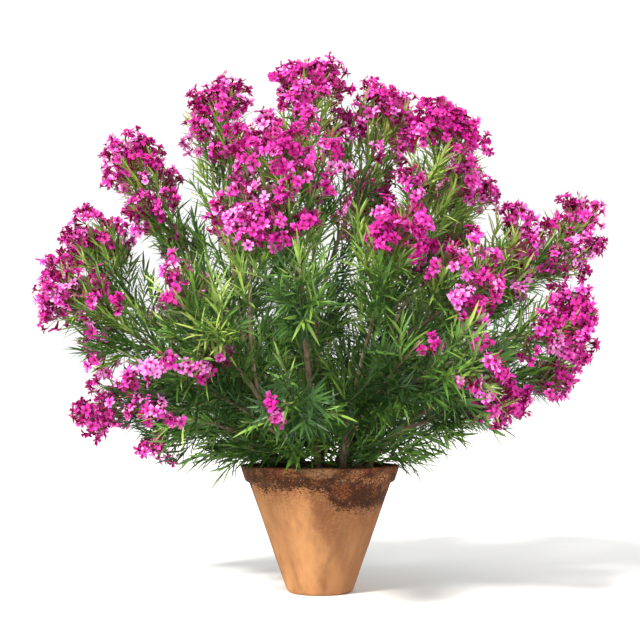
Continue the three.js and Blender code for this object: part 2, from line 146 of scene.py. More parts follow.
def make_piece(name, points, faces, finishes, finish_of_face=0):
    """A smooth-shaded mesh object with one material slot for each finish."""
    mesh = bpy.data.meshes.new(name)
    mesh.vertices.add(len(points))
    mesh.vertices.foreach_set("co", np.asarray(points, np.float32).ravel())
    mesh.loops.add(faces.size)
    mesh.loops.foreach_set("vertex_index", np.asarray(faces, np.int32).ravel())
    mesh.polygons.add(len(faces))
    mesh.polygons.foreach_set("loop_start", np.arange(0, faces.size, 3, dtype=np.int32))
    mesh.shade_smooth()
    for finish in finishes:
        mesh.materials.append(finish)
    finish_of_face = np.broadcast_to(finish_of_face, len(faces)).astype(np.int32)
    mesh.polygons.foreach_set("material_index", finish_of_face)
    mesh.update(calc_edges=True)
    mesh.validate()
    piece = bpy.data.objects.new(name, mesh)
    bpy.context.scene.collection.objects.link(piece)
    return piece


class Joined:
    """Points and faces of many small parts, joined as they are added."""

    def __init__(self):
        self.points, self.faces, self.finish_of_face, self.count = [], [], [], 0

    def add(self, points, faces, finish):
        self.points.append(points.reshape(-1, 3))
        self.faces.append(faces + self.count)
        self.finish_of_face.append(np.broadcast_to(finish, len(faces)))
        self.count += len(self.points[-1])

    def add_copies(self, points, faces, finish):
        """Adds parts alike: points has a row for each part, and faces are those of one."""
        count, corners = points.shape[:2]
        faces = faces + corners * np.arange(count)[:, None, None]
        self.add(points, faces.reshape(-1, 3), finish)

    def piece(self, name, finishes):
        return make_piece(name, np.concatenate(self.points), np.concatenate(self.faces),
                          finishes, np.concatenate(self.finish_of_face))


def paint(*shades):
    """A colour as a painter's chart gives it, 0 to 255, in the light that a shader works in."""
    shares = [shade / 255 for shade in shades]
    return (*(share / 12.92 if share <= 0.04045 else ((share + 0.055) / 1.055) ** 2.4
              for share in shares), 1)


def feed(socket, value):
    """Links a shader value to an input, or sets the input to a plain number or colour."""
    value = getattr(value, "socket", value)
    if isinstance(value, bpy.types.NodeSocket):
        socket.id_data.links.new(value, socket)
    else:
        socket.default_value = value


def node(tree, kind, **settings):
    """Adds a shader node. A setting named after an input feeds that input."""
    made = tree.nodes.new("ShaderNode" + kind)
    for name, value in settings.items():
        if name in made.inputs:
            feed(made.inputs[name], value)
        else:
            setattr(made, name, value)
    return made


def arithmetic(operation):
    """A method that adds the node for this operation on a shader value."""
    return lambda *values: values[0].through(
        "Math", dict(enumerate(values)), operation=operation)


class Shade:
    """A value in a shader. Arithmetic with it adds the nodes that work it out."""

    def __init__(self, socket):
        self.socket, self.tree = socket, socket.id_data

    def through(self, kind, inputs, output=0, **settings):
        """Adds a node, feeds these of its inputs, and gives one of its outputs."""
        made = node(self.tree, kind, **settings)
        for place, value in inputs.items():
            feed(made.inputs[place], value)
        return Shade(made.outputs[output])

    __add__ = __radd__ = arithmetic("ADD")
    __mul__ = __rmul__ = arithmetic("MULTIPLY")
    __sub__ = arithmetic("SUBTRACT")
    __lt__ = arithmetic("LESS_THAN")
    __abs__ = arithmetic("ABSOLUTE")

    def step(self, low, high):
        """0 at low, 1 at high and smooth between."""
        return self.through("MapRange", {0: self, 1: low, 2: high, 3: 0, 4: 1},
                            interpolation_type="SMOOTHSTEP")

    def tint(self, low, high):
        """The first colour where this is 0, the second where it is 1."""
        return self.through("Mix", {0: self, 6: low, 7: high}, 2, data_type="RGBA")

    def stretched(self, x, y, z):
        return self.through("Mapping", {"Vector": self, "Scale": (x, y, z)})

    def cloudy(self, scale, detail, roughness):
        return self.through("TexNoise", {
            "Vector": self, "Scale": scale, "Detail": detail, "Roughness": roughness})

    def split(self):
        return map(Shade, node(self.tree, "SeparateXYZ", Vector=self).outputs)


def new_group(name, inputs, outputs):
    """A shader node group with these sockets, by name and kind: its inputs and its output."""
    tree = bpy.data.node_groups.new(name, "ShaderNodeTree")
    for direction, sockets in (("INPUT", inputs), ("OUTPUT", outputs)):
        for label, kind in sockets.items():
            tree.interface.new_socket(label, in_out=direction, socket_type="NodeSocket" + kind)
    given = [Shade(socket) for socket in tree.nodes.new("NodeGroupInput").outputs[:-1]]
    return tree, given, tree.nodes.new("NodeGroupOutput").inputs


# Patches of two colours with soft ragged edges, as damp, lichen and dirt leave them.
blotches, (place, light, dark, scale, edge, softness), result = new_group("blotches", {
    "Place": "Vector", "Light": "Color", "Dark": "Color", "Scale": "Float", "Edge": "Float",
    "Softness": "Float"}, {"Colour": "Color", "Mask": "Float"})
patch = place.cloudy(scale, 6, 0.62).step(edge - softness, edge + softness)
feed(result["Colour"], patch.tint(light, dark))
feed(result["Mask"], patch)

# Sparse round specks, such as lime on clay, chips in soil and the pores of bark.
specks, (place, scale, size, share), result = new_group("specks", {
    "Place": "Vector", "Scale": "Float", "Size": "Float", "Share": "Float"}, {"Mask": "Float"})
cells = node(specks, "TexVoronoi", Vector=place, Scale=scale).outputs
lot = Shade(node(specks, "SeparateColor", Color=cells["Color"]).outputs[0])
feed(result["Mask"], (Shade(cells["Distance"]) < size) * (lot < share))


def laid(group, place, **values):
    """The outputs, by name, of a shader node group laid over a place."""
    made = node(place.tree, "Group", node_tree=group, Place=place, **values)
    return {output.name: Shade(output) for output in made.outputs}


def plain_finish(name, **values):
    """A material of one colour, with these values in its Principled shader."""
    finish = bpy.data.materials.new(name)
    finish.use_nodes = True
    for label, value in values.items():
        feed(finish.node_tree.nodes["Principled BSDF"].inputs[label.replace("_", " ")], value)
    return finish


def plain_finishes(colours, **values):
    """Such a material for each colour, in their order."""
    return [plain_finish(name, Base_Color=paint(*colour), **values)
            for name, colour in colours.items()]


def new_finish(name, **values):
    """A material to pattern: itself, its shader's inputs and the place on the object."""
    finish = plain_finish(name, **values)
    place = Shade(node(finish.node_tree, "TexCoord").outputs["Object"])
    return finish, finish.node_tree.nodes["Principled BSDF"].inputs, place


def dress(shader, colour, roughness, relief, strength, depth):
    """Gives a shader its colour, its roughness and a fine relief, its depth in metres."""
    bump = node(relief.tree, "Bump", Height=relief, Strength=strength, Distance=depth)
    feed(shader["Base Color"], colour)
    feed(shader["Roughness"], roughness)
    feed(shader["Normal"], bump.outputs[0])


clay, shader, place = new_finish("weathered_clay", Specular_IOR_Level=0.12)
across, _, height = place.split()
body = laid(blotches, place.stretched(1, 1, 0.5), Light=paint(190, 138, 90),
            Dark=paint(160, 112, 74), Scale=7, Edge=0.5, Softness=0.18)
runs = laid(blotches, place.stretched(1, 1, 0.1), Light=body["Colour"],
            Dark=paint(136, 94, 64), Scale=17, Edge=0.56, Softness=0.14)
pores = place.cloudy(260, 3, 0.5)
grain = place.stretched(1, 1, 2).cloudy(110, 5, 0.75)
ragged = place.stretched(1, 1, 0.45).cloudy(13, 7, 0.68)
# The stain's torn edge lies below the collar, and lower on the right of the pot.
edge_height = across.step(0.0, 0.06) * -0.058 + 0.325
torn = (ragged - 0.5) * 0.08 + (grain - 0.5) * 0.13
over_edge = height - edge_height + torn
stained = over_edge.step(-0.010, 0.008)
crust = laid(blotches, place, Light=paint(126, 68, 40), Dark=paint(62, 34, 20), Scale=32,
             Edge=0.48, Softness=0.1)
ochre = laid(blotches, place.stretched(1, 1, 2), Light=crust["Colour"],
             Dark=paint(166, 114, 74), Scale=12, Edge=0.57, Softness=0.1)
lichen = laid(blotches, place.stretched(1.3, 1.3, 1.6), Light=ochre["Colour"],
              Dark=paint(122, 112, 84), Scale=10, Edge=0.62, Softness=0.07)
flecked = laid(blotches, place.stretched(1, 1, 2), Light=lichen["Colour"],
               Dark=paint(40, 20, 12), Scale=150, Edge=0.51, Softness=0.08)
# The middle of the collar is worn pale, and the stain darkens where its tide has dried.
near_middle = abs(across).step(0.07, 0.02)
worn = near_middle * height.step(0.358, 0.374) * grain.step(0.40, 0.56)
collar = (worn * 0.7).tint(flecked["Colour"], paint(158, 120, 86))
tide = stained * over_edge.step(0.05, 0.015)
stain = (tide * 0.8).tint(collar, paint(34, 17, 9))
# Below it the clay is hazed with splashed soil, and painted shade darkens its right side.
splash = abs(across - 0.012).step(0.055, 0.02)
haze = (over_edge + splash * 0.075).step(-0.09, 0.01) * grain.step(0.36, 0.58)
# Painted shade: the body is mixed towards a darker clay colour towards its right side, away from
# the lamp.
right_shaded_clay = (across.step(0.04, 0.15) * 0.4).tint(runs["Colour"], paint(138, 94, 66))
hazy = (haze * 0.7).tint(right_shaded_clay, paint(124, 74, 46))
lime = laid(specks, place, Scale=230, Size=0.2, Share=0.1)["Mask"]
weathered = (stained * 0.92).tint(hazy, stain)
limed = (lime * (stained * 0.6)).tint(weathered, paint(226, 208, 190))
dress(shader, limed, pores * 0.2 + 0.72, pores * 0.4 + crust["Mask"] * stained, 0.35, 0.0012)

points, faces = turned(rounded_profile(POT_OUTSIDE + POT_INSIDE, PROFILE_STEP), POT_FACETS)
radius = np.hypot(points[:, 0], points[:, 1])
waved = OUT_OF_TRUE * waver(points, 7) + GRAIN_DEPTH * waver(points, 90, (1, 1, 2))
on_edge = np.exp(-(((points[:, 2] - POT_HEIGHT) / 0.006) ** 2))
on_edge += np.exp(-(((points[:, 2] - COLLAR_FOOT) / 0.005) ** 2))
waved -= CHIP_DEPTH * on_edge * np.clip(waver(points, 60), 0, 1)
outward = points * (radius > 0.02)[:, None] / np.maximum(radius, 0.02)[:, None]
outward[:, 2] = 0
pot = make_piece("clay_pot", points + outward * waved[:, None], faces, [clay])
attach(pot, "root")
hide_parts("pot")

# ---- The soil ----
# Dark potting soil, filled to 34 mm below the rim. It has settled into crumbs, with a few chips
# of bark and grit on top, and only shows between the canes.

SOIL_RADIUS = 0.2092
SOIL_FLOOR = 0.0225
SETTLED = 0.002  # how far the soil between the crumbs lies below their level
CRUMBS = 420
SMALLEST_CRUMB, LARGEST_CRUMB = 0.0015, 0.005

soil_finish, shader, place = new_finish("potting_soil", Specular_IOR_Level=0.2)
loam = laid(blotches, place, Light=paint(92, 68, 48), Dark=paint(44, 32, 24), Scale=60, Edge=0.5,
            Softness=0.15)
grit = laid(specks, place, Scale=170, Size=0.3, Share=0.12)["Mask"]
coloured = (grit * 0.6).tint(loam["Colour"], paint(150, 134, 112))
dress(shader, coloured, loam["Mask"] * -0.2 + 0.95, loam["Mask"], 0.6, 0.002)

profile = rounded_profile([
    (0, SOIL_FLOOR, 0), (0.086, SOIL_FLOOR, 0.004), (0.2034, COLLAR_FOOT, 0.004),
    (SOIL_RADIUS, SOIL_TOP - SETTLED, 0.003), (0, SOIL_TOP - SETTLED, 0)], 0.006)
points, faces = turned(profile, 96)
inside = np.hypot(points[:, 0], points[:, 1]) < SOIL_RADIUS - 0.006
crumbly = 0.004 * waver(points, 45) + 0.003 * waver(points, 140)
points[:, 2] += np.where((points[:, 2] > SOIL_TOP - 0.006) & inside, crumbly, 0)
crumbs = Joined()
crumbs.add(points, faces, 0)
chance = np.random.default_rng(5)
cube = np.array([(x, y, z) for x in (-1, 1) for y in (-1, 1) for z in (-1, 1)], float)
cube_faces = np.array([(0, 1, 3), (0, 3, 2), (4, 6, 7), (4, 7, 5), (0, 4, 5), (0, 5, 1),
                       (2, 3, 7), (2, 7, 6), (0, 2, 6), (0, 6, 4), (1, 5, 7), (1, 7, 3)])
for _ in range(CRUMBS):
    angle = chance.uniform(0, math.tau)
    reach = (SOIL_RADIUS - 0.012) * chance.uniform() ** 0.5
    size = chance.uniform(SMALLEST_CRUMB, LARGEST_CRUMB)
    size = size * np.array([1, chance.uniform(0.5, 1.2), 0.6])
    turn, _ = qr(chance.normal(size=(3, 3)))
    lump = (cube * size * chance.uniform(0.7, 1.1, (8, 1))) @ turn.T
    crumbs.add(lump + [reach * math.cos(angle), reach * math.sin(angle), SOIL_TOP], cube_faces, 0)
soil = crumbs.piece("soil_crumbs", [soil_finish])
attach(soil, "root")
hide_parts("soil")

# ---- The canes ----
# Twelve woody canes rise from the soil, 22 to 28 mm thick at the foot with a slight root flare,
# and lean out as they climb. Their grey-brown bark has shallow cracks along it, raised pores
# and the worn rings of old leaves. Each one ends where its crowning mass of leaf begins.

CANE_SHARE = 0.48  # the part of a cane's line that is cane; the rest is its crowning stem
BOUGH_SHARE = 0.38  # and of a side mass's line that is bough
CANE_TIP = 0.007
FLARE = 0.45
FLARE_HEIGHT = 0.028
HUB = np.array([0, 0, 0.470])  # the tips of the crown point away from here
BLOOM_DOME = 0.026
UP = np.array([0, 0, 1.0])

# Each cane: name, azimuth of its foot, distance of its foot from the pot's axis, girth, lean, and
# its masses. Each mass: name, azimuth, reach and height of its tip, how far the tip turns up,
# the share of its shoots in flower, how far it spreads from its stem, the share of the cane
# where it leaves the side (None for the mass that crowns it), whether on a bough, how far back
# from its tip it flowers beside the others, and how much of its spread the leaves fill.
CANES = [
    ("left_low", 192, 0.112, 0.011, 0.3, [
        ("left_foot", 200, 0.545, 0.45, -0.6, 0.1, 0.11, None, False, 1, 1),
        ("left_low", 171, 0.822, 0.552, -0.3, 1, 0.14, 0.5, False, 1.2, 1)]),
    ("left", 168, 0.088, 0.013, 0.6, [
        ("left_mid", 184, 0.897, 0.965, 0, 1, 0.14, None, False, 0.95, 1),
        ("left_upper", 163, 0.89, 1.195, 0.2, 1, 0.16, 0.62, True, 1, 1),
        ("left_inner", 205, 0.4, 0.8, 0.3, 0, 0.215, 0.25, False, 1, 1)]),
    ("left_high", 150, 0.04, 0.013, 0.6, [
        ("left_spike", 176, 0.665, 1.452, 0.2, 1, 0.125, None, False, 1.4, 1),
        ("left_top", 188, 0.35, 1.628, 0.4, 1, 0.135, 0.66, True, 1.1, 1)]),
    ("top", 84, 0.042, 0.014, 0.6, [
        ("top", 215, 0.055, 1.7, 0.2, 1, 0.17, None, False, 1, 1),
        ("top_right", 28, 0.275, 1.66, 0.3, 1, 0.16, 0.7, True, 1.5, 1)]),
    ("right_high", 12, 0.042, 0.014, 0.6, [
        ("right_high", 18, 0.565, 1.402, 0.2, 1, 0.125, None, False, 1.5, 1),
        ("right_top", 336, 0.458, 1.512, 0.4, 1, 0.135, 0.66, True, 0.8, 1)]),
    ("right", 358, 0.1, 0.014, 0.6, [
        ("right_wide", 7, 0.932, 1.24, 0.2, 1, 0.13, None, False, 1.3, 1),
        ("right_mid", 350, 0.875, 0.878, 0, 1, 0.145, 0.6, True, 1.3, 1),
        ("right_upper", 350, 0.678, 1.165, 0.3, 1, 0.145, 0.85, False, 0.7, 1)]),
    ("right_low", 340, 0.115, 0.012, 0.5, [
        ("right_low", 12, 0.905, 0.71, -0.1, 1, 0.145, None, False, 0.5, 1),
        ("right_foot", 342, 0.675, 0.535, -0.4, 0.8, 0.12, 0.45, False, 1.2, 1)]),
    ("front_left", 236, 0.105, 0.013, 0.6, [
        ("front_left_mid", 236, 0.72, 0.885, 0.1, 0.4, 0.215, None, False, 0.8, 1),
        ("front_left_low", 224, 0.765, 0.705, 0, 0.5, 0.16, 0.4, False, 1, 0.7),
        ("front_left_high", 243, 0.48, 1.2, 0.2, 0.6, 0.21, 0.8, True, 1, 1)]),
    ("front", 268, 0.08, 0.013, 0.6, [
        ("front_high", 256, 0.5, 1.385, 0.3, 1, 0.21, None, False, 1.5, 1),
        ("front_mid", 266, 0.76, 0.94, 0.1, 0.1, 0.215, 0.55, True, 1, 0.6),
        ("front_low", 263, 0.775, 0.59, 0, 0.2, 0.215, 0.25, False, 0.7, 0.55)]),
    ("front_right", 304, 0.105, 0.014, 0.6, [
        ("front_right_high", 294, 0.575, 1.115, 0.2, 0.8, 0.21, None, False, 0.65, 1),
        ("front_right_mid", 316, 0.68, 0.97, 0.1, 0.9, 0.2, 0.7, True, 0.7, 1),
        ("front_right_low", 308, 0.8, 0.712, 0, 0.5, 0.18, 0.4, False, 0.6, 1),
        ("front_inner", 296, 0.64, 0.765, 0.1, 0.5, 0.21, 0.2, False, 0.9, 0.7)]),
    ("back_left", 124, 0.105, 0.013, 0.6, [
        ("back_left_mid", 132, 0.8, 0.96, 0.1, 0.8, 0.215, None, False, 1, 1),
        ("back_left_low", 128, 0.76, 0.66, 0, 0.5, 0.21, 0.35, False, 0.2, 1),
        ("back_left_high", 122, 0.54, 1.33, 0.2, 1, 0.215, 0.8, True, 1, 1),
        ("back_mid", 95, 0.8, 0.9, 0.1, 0.6, 0.215, 0.6, True, 1, 1)]),
    ("back_right", 52, 0.105, 0.013, 0.6, [
        ("back_right_mid", 52, 0.81, 1.02, 0.1, 0.8, 0.215, None, False, 0.6, 1),
        ("back_right_low", 45, 0.78, 0.68, 0, 0.5, 0.21, 0.4, False, 0.4, 1),
        ("back_right_high", 64, 0.51, 1.38, 0.2, 1, 0.215, 0.8, True, 1.3, 1),
        ("back_low", 88, 0.79, 0.59, 0, 0.3, 0.215, 0.6, False, 1, 1),
        ("back_inner", 90, 0.38, 0.8, 0.3, 0, 0.215, 0.2, False, 1, 1)]),
]


def polar(azimuth, reach, height):
    angle = math.radians(azimuth)
    return np.array([reach * math.cos(angle), reach * math.sin(angle), height])


def between(start, end, share):
    return unit(mix(start, end, share))


def seeded(seed):
    """A repeatable stream of numbers from 0 to 1."""
    state = seed

    def draw():
        nonlocal state
        state = (state + 0x6D2B79F5) & 0xFFFFFFFF
        t = ((state ^ (state >> 15)) * (state | 1)) & 0xFFFFFFFF
        t ^= (t + (((t ^ (t >> 7)) * (t | 61)) & 0xFFFFFFFF)) & 0xFFFFFFFF
        return ((t ^ (t >> 14)) & 0xFFFFFFFF) / 2 ** 32
    return draw


def along(controls, shares):
    """The points of a curve at these shares of it, from the points that pull it."""
    shares = np.atleast_1d(shares)[:, None, None]
    points = np.repeat(controls[None], len(shares), 0)
    while points.shape[1] > 1:
        points = points[:, :-1] * (1 - shares) + points[:, 1:] * shares
    return points[:, 0]


def frames(controls, shares, roll=0):
    """The direction of a curve at these shares of it, and two directions square to it."""
    tangent = unit(along(np.diff(controls, axis=0), shares))
    chord = controls[-1] - controls[0]
    normal = np.cross(chord, UP)
    if norm(normal) < 0.05 * norm(chord):
        normal = np.array([1.0, 0, 0])
    side = unit(normal - tangent * (tangent @ normal)[:, None])
    return (tangent, *rolled(side, np.cross(tangent, side), roll))


def line_to(start, direction, tip, lift):
    """A curve from a start to a mass's tip, given its direction at the start."""
    down_or_up = -UP if lift < 0 else UP
    heading = between(unit(tip - HUB), down_or_up, abs(lift))
    end = tip - heading * (BLOOM_DOME + 0.008)
    span = norm(end - start)
    return np.array([start, start + direction * span * 0.42, end - heading * span * 0.3, end])


def cane_radius(girth, controls, shares):
    rise = np.maximum(along(controls, shares)[:, 2] - SOIL_TOP, 0)
    flare = FLARE * girth * np.exp(-rise / FLARE_HEIGHT)
    return mix(girth, CANE_TIP, np.minimum(shares / CANE_SHARE, 1)) + flare


def tube(centres, side, cross, radii):
    """A closed tube round a curve. radii has a row for each ring and a column for each side."""
    sides = radii.shape[1]
    angle = math.tau * np.arange(sides) / sides
    ring = rolled(side[:, None], cross[:, None], angle[:, None])[0]
    points = (centres[:, None] + ring * radii[:, :, None]).reshape(-1, 3)
    return closed(points, sides, [centres[0], centres[-1]])


def with_bark(controls, roll, shares, radii, sides, seed):
    """A limb with the relief of its bark: cracks along it, raised pores and old leaf rings."""
    centres = along(controls, shares)
    _, side, cross = frames(controls, shares, roll)
    travelled = np.concatenate([[0], np.cumsum(norm(np.diff(centres, axis=0), axis=1))])
    angle = math.tau * np.arange(sides) / sides
    around = np.stack(np.broadcast_arrays(
        np.cos(angle) + seed, np.sin(angle), travelled[:, None]), -1)
    cracks = waver(around, 2.6, (1, 1, 14))
    pores = np.clip(waver(around, 4, (1, 1, 45)), 0.25, 1) - 0.25
    waves = waver(around, 1, (0.5, 0.5, 16))
    rings = np.exp(-((np.mod(travelled + 0.013 * seed, 0.034) - 0.017) / 0.0025) ** 2)[:, None]
    relief = 0.09 * cracks - 0.10 * np.abs(cracks) + 0.16 * pores + 0.06 * waves + 0.07 * rings
    return tube(centres, side, cross, radii[:, None] * (1 + relief))


bark, shader, place = new_finish("old_bark", Specular_IOR_Level=0.3)
_, _, height = place.split()
skin = laid(blotches, place, Light=paint(150, 130, 108), Dark=paint(102, 84, 66), Scale=38,
            Edge=0.5, Softness=0.14)
green = laid(blotches, place, Light=skin["Colour"], Dark=paint(98, 100, 68), Scale=14, Edge=0.57,
             Softness=0.08)
pale = laid(specks, place.stretched(1, 1, 0.6), Scale=210, Size=0.26, Share=0.3)["Mask"]
coloured = (pale * 0.5).tint(green["Colour"], paint(184, 168, 146))
coloured = (height.step(0.46, 0.37) * 0.55).tint(coloured, paint(74, 58, 44))
dress(shader, coloured, skin["Mask"] * 0.2 + 0.68, skin["Mask"], 0.4, 0.001)

canes, masses = [], []
for name, azimuth, foot_reach, girth, lean, plans in CANES:
    foot = polar(azimuth, foot_reach, SOIL_TOP - FLARE_HEIGHT)
    tips = [polar(*plan[1:4]) for plan in plans]
    direction = between(UP, unit(tips[0] - foot), lean)
    controls = line_to(foot, direction, tips[0], plans[0][4])
    cane = SimpleNamespace(name=name, controls=controls, girth=girth, masses=[], sprays=[])
    canes.append(cane)
    for plan, tip in zip(plans, tips):
        name, _, _, _, lift, bloom, spread, branches_at, bough, rich, full = plan
        mass = SimpleNamespace(
            name=name, tip=tip, bloom=bloom, spread=spread, bough=bough, rich=rich, full=full,
            controls=controls, begins=CANE_SHARE, shoots=[], sprays=[])
        if branches_at is not None:
            share = branches_at * CANE_SHARE
            start = along(controls, share)[0]
            tangent = frames(controls, share)[0][0]
            aim = between(tangent, unit(tip - start), 0.6)
            mass.controls = line_to(start, aim, tip, lift)
            mass.begins = BOUGH_SHARE if bough else 0
            mass.root = 0.8 * cane_radius(girth, controls, share)[0]
        cane.masses.append(mass)
        masses.append(mass)
for number, mass in enumerate(masses):
    mass.draw = seeded(number + 1)
    mass.roll = math.tau * mass.draw()

for number, cane in enumerate(canes):
    controls = cane.controls
    steps = np.linspace(0, CANE_SHARE, 400)
    at_soil = steps[np.argmax(along(controls, steps)[:, 2] > SOIL_TOP - SETTLED)]
    shares = np.linspace(at_soil, CANE_SHARE, 110)
    radii = cane_radius(cane.girth, controls, shares)
    points, faces = with_bark(controls, cane.masses[0].roll, shares, radii, 16, number)
    piece = make_piece("bark_cane_" + cane.name, points, faces, [bark])
    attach(piece, "root")
    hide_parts("cane_" + cane.name)

# ---- The boughs ----
# Eleven side boughs of the same wood, 12 to 20 mm thick where they leave a cane. Each grows out
# of the cane's side on a slight swelling and ends where its mass of leaf begins.

BOUGH_TIP = 0.006
SWELLING = 0.25

for number, mass in enumerate(masses):
    if not mass.bough:
        continue
    shares = np.linspace(0, BOUGH_SHARE, 70)
    radii = mix(mass.root, BOUGH_TIP, shares / BOUGH_SHARE)
    radii += SWELLING * mass.root * np.exp(-shares / 0.03)
    points, faces = with_bark(mass.controls, mass.roll, shares, radii, 12, 20 + number)
    piece = make_piece("bark_bough_" + mass.name, points, faces, [bark])
    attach(piece, "root")
    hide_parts("bough_" + mass.name)

# ---- The twigs ----
# Each mass has one stem that goes on from its cane or bough. Side shoots leave the stem one
# after another round it, and thin leafy sprays leave stem and shoots in threes. The wood is
# brown at the root of a mass and turns green, and pink where flowers hang, towards the tips.

HEART = np.array([0, 0, 0.760])  # a mass reaches no farther from here than its tip
DROOP = 0.060
WIDEST = 0.215  # the farthest that any mass spreads from its stem
SPRAY_ROOM = 0.045  # what a shoot leaves of the spread for the sprays on it
OVERHANG = 0.012  # how far a leaf may pass a mass's reach
POT_GAP = 0.008
STEM_KNOTS = 5
SPINE_STEPS = 8
STEM_ENDS, SHOOT_ENDS, SPRAY_ENDS = (0.0064, 0.003), (0.0038, 0.0022), (0.0021, 0.0013)  # radii
SHOOT_ANGLE, SPRAY_ANGLE, OLD_WOOD_ANGLE = 44, 42, 58
SPRAYS_APART = 0.062
SPRAY_LENGTH = 0.165
PAST_SPRAY = 0.065  # how far the last leaves stand past a spray's end

for mass in masses:
    mass.spine = along(mass.controls, np.linspace(mass.begins, 1, SPINE_STEPS + 1))
    mass.limit = norm(mass.tip - HEART)
    mass.lowest = min(mass.tip[2], mass.spine[0, 2]) - DROOP
all_spines = np.array([mass.spine for mass in masses])


def in_reach(points, mass, slack=0.0):
    """For each point, whether it lies within a mass's reach and above its lowest level."""
    near = norm(points - HEART, axis=-1) <= mass.limit + slack
    return near & (points[..., 2] >= mass.lowest - OVERHANG)


def from_stem(point, mass):
    """How far a point is from a mass's stem, and how far the mass spreads there."""
    away = norm(mass.spine - point, axis=-1)
    spread = mass.spread * mix(1.9, 1, away.argmin() / SPINE_STEPS)
    return away.min(), min(spread, WIDEST)


def in_space(point, mass):
    """Whether a point is in reach and lies nearer to this mass's stem than to any other's."""
    distances = norm(all_spines - point, axis=-1).min(1)
    own, spread = from_stem(point, mass)
    return in_reach(point, mass) and own <= min(spread - SPRAY_ROOM, distances.min() + 1e-9)


def clear_of_pot(points):
    """For each point, whether it is above the rim or soil, or outside the pot's wall."""
    away = np.hypot(points[..., 0], points[..., 1])
    over = points[..., 2] > POT_HEIGHT + 0.006
    within = (away < 0.214) & (points[..., 2] > SOIL_TOP + POT_GAP)
    return over | within | (away > RIM_RADIUS + POT_GAP)


def side_line(line, share, roll, turn, spread, length, follow):
    """A shoot's curve: it leaves a line at an angle and bends back along it."""
    start = along(line, share)[0]
    tangent, side, cross = (vectors[0] for vectors in frames(line, share, roll))
    leaving = between(tangent, rolled(side, cross, turn)[0], spread / 90)
    bend = start + leaving * length * 0.45
    heading = between(leaving, tangent, follow)
    return np.array([start, bend, bend + heading * length * 0.55])


def add_twig(joined, controls, start, ends, sides, rings, finish):
    shares = np.linspace(start, 1, rings)
    _, side, cross = frames(controls, shares)
    radii = np.repeat(mix(*ends, np.linspace(0, 1, rings))[:, None], sides, 1)
    joined.add(*tube(along(controls, shares), side, cross, radii), finish)


def span_of(controls):
    return norm(np.diff(along(controls, np.linspace(0, 1, 9)), axis=0), axis=1).sum()


def face_angle(face, sway, draw):
    """The way that one of a limb's three faces looks, swayed by up to some degrees."""
    return math.radians(120 * (face + 0.5) + sway * mix(-1, 1, draw()))


TWIG_FINISHES = plain_finishes({
    "brown_twig": (118, 100, 78), "green_twig": (104, 118, 62), "pink_twig": (150, 96, 84),
}, Roughness=0.6)
BROWN, GREEN, PINK = range(3)

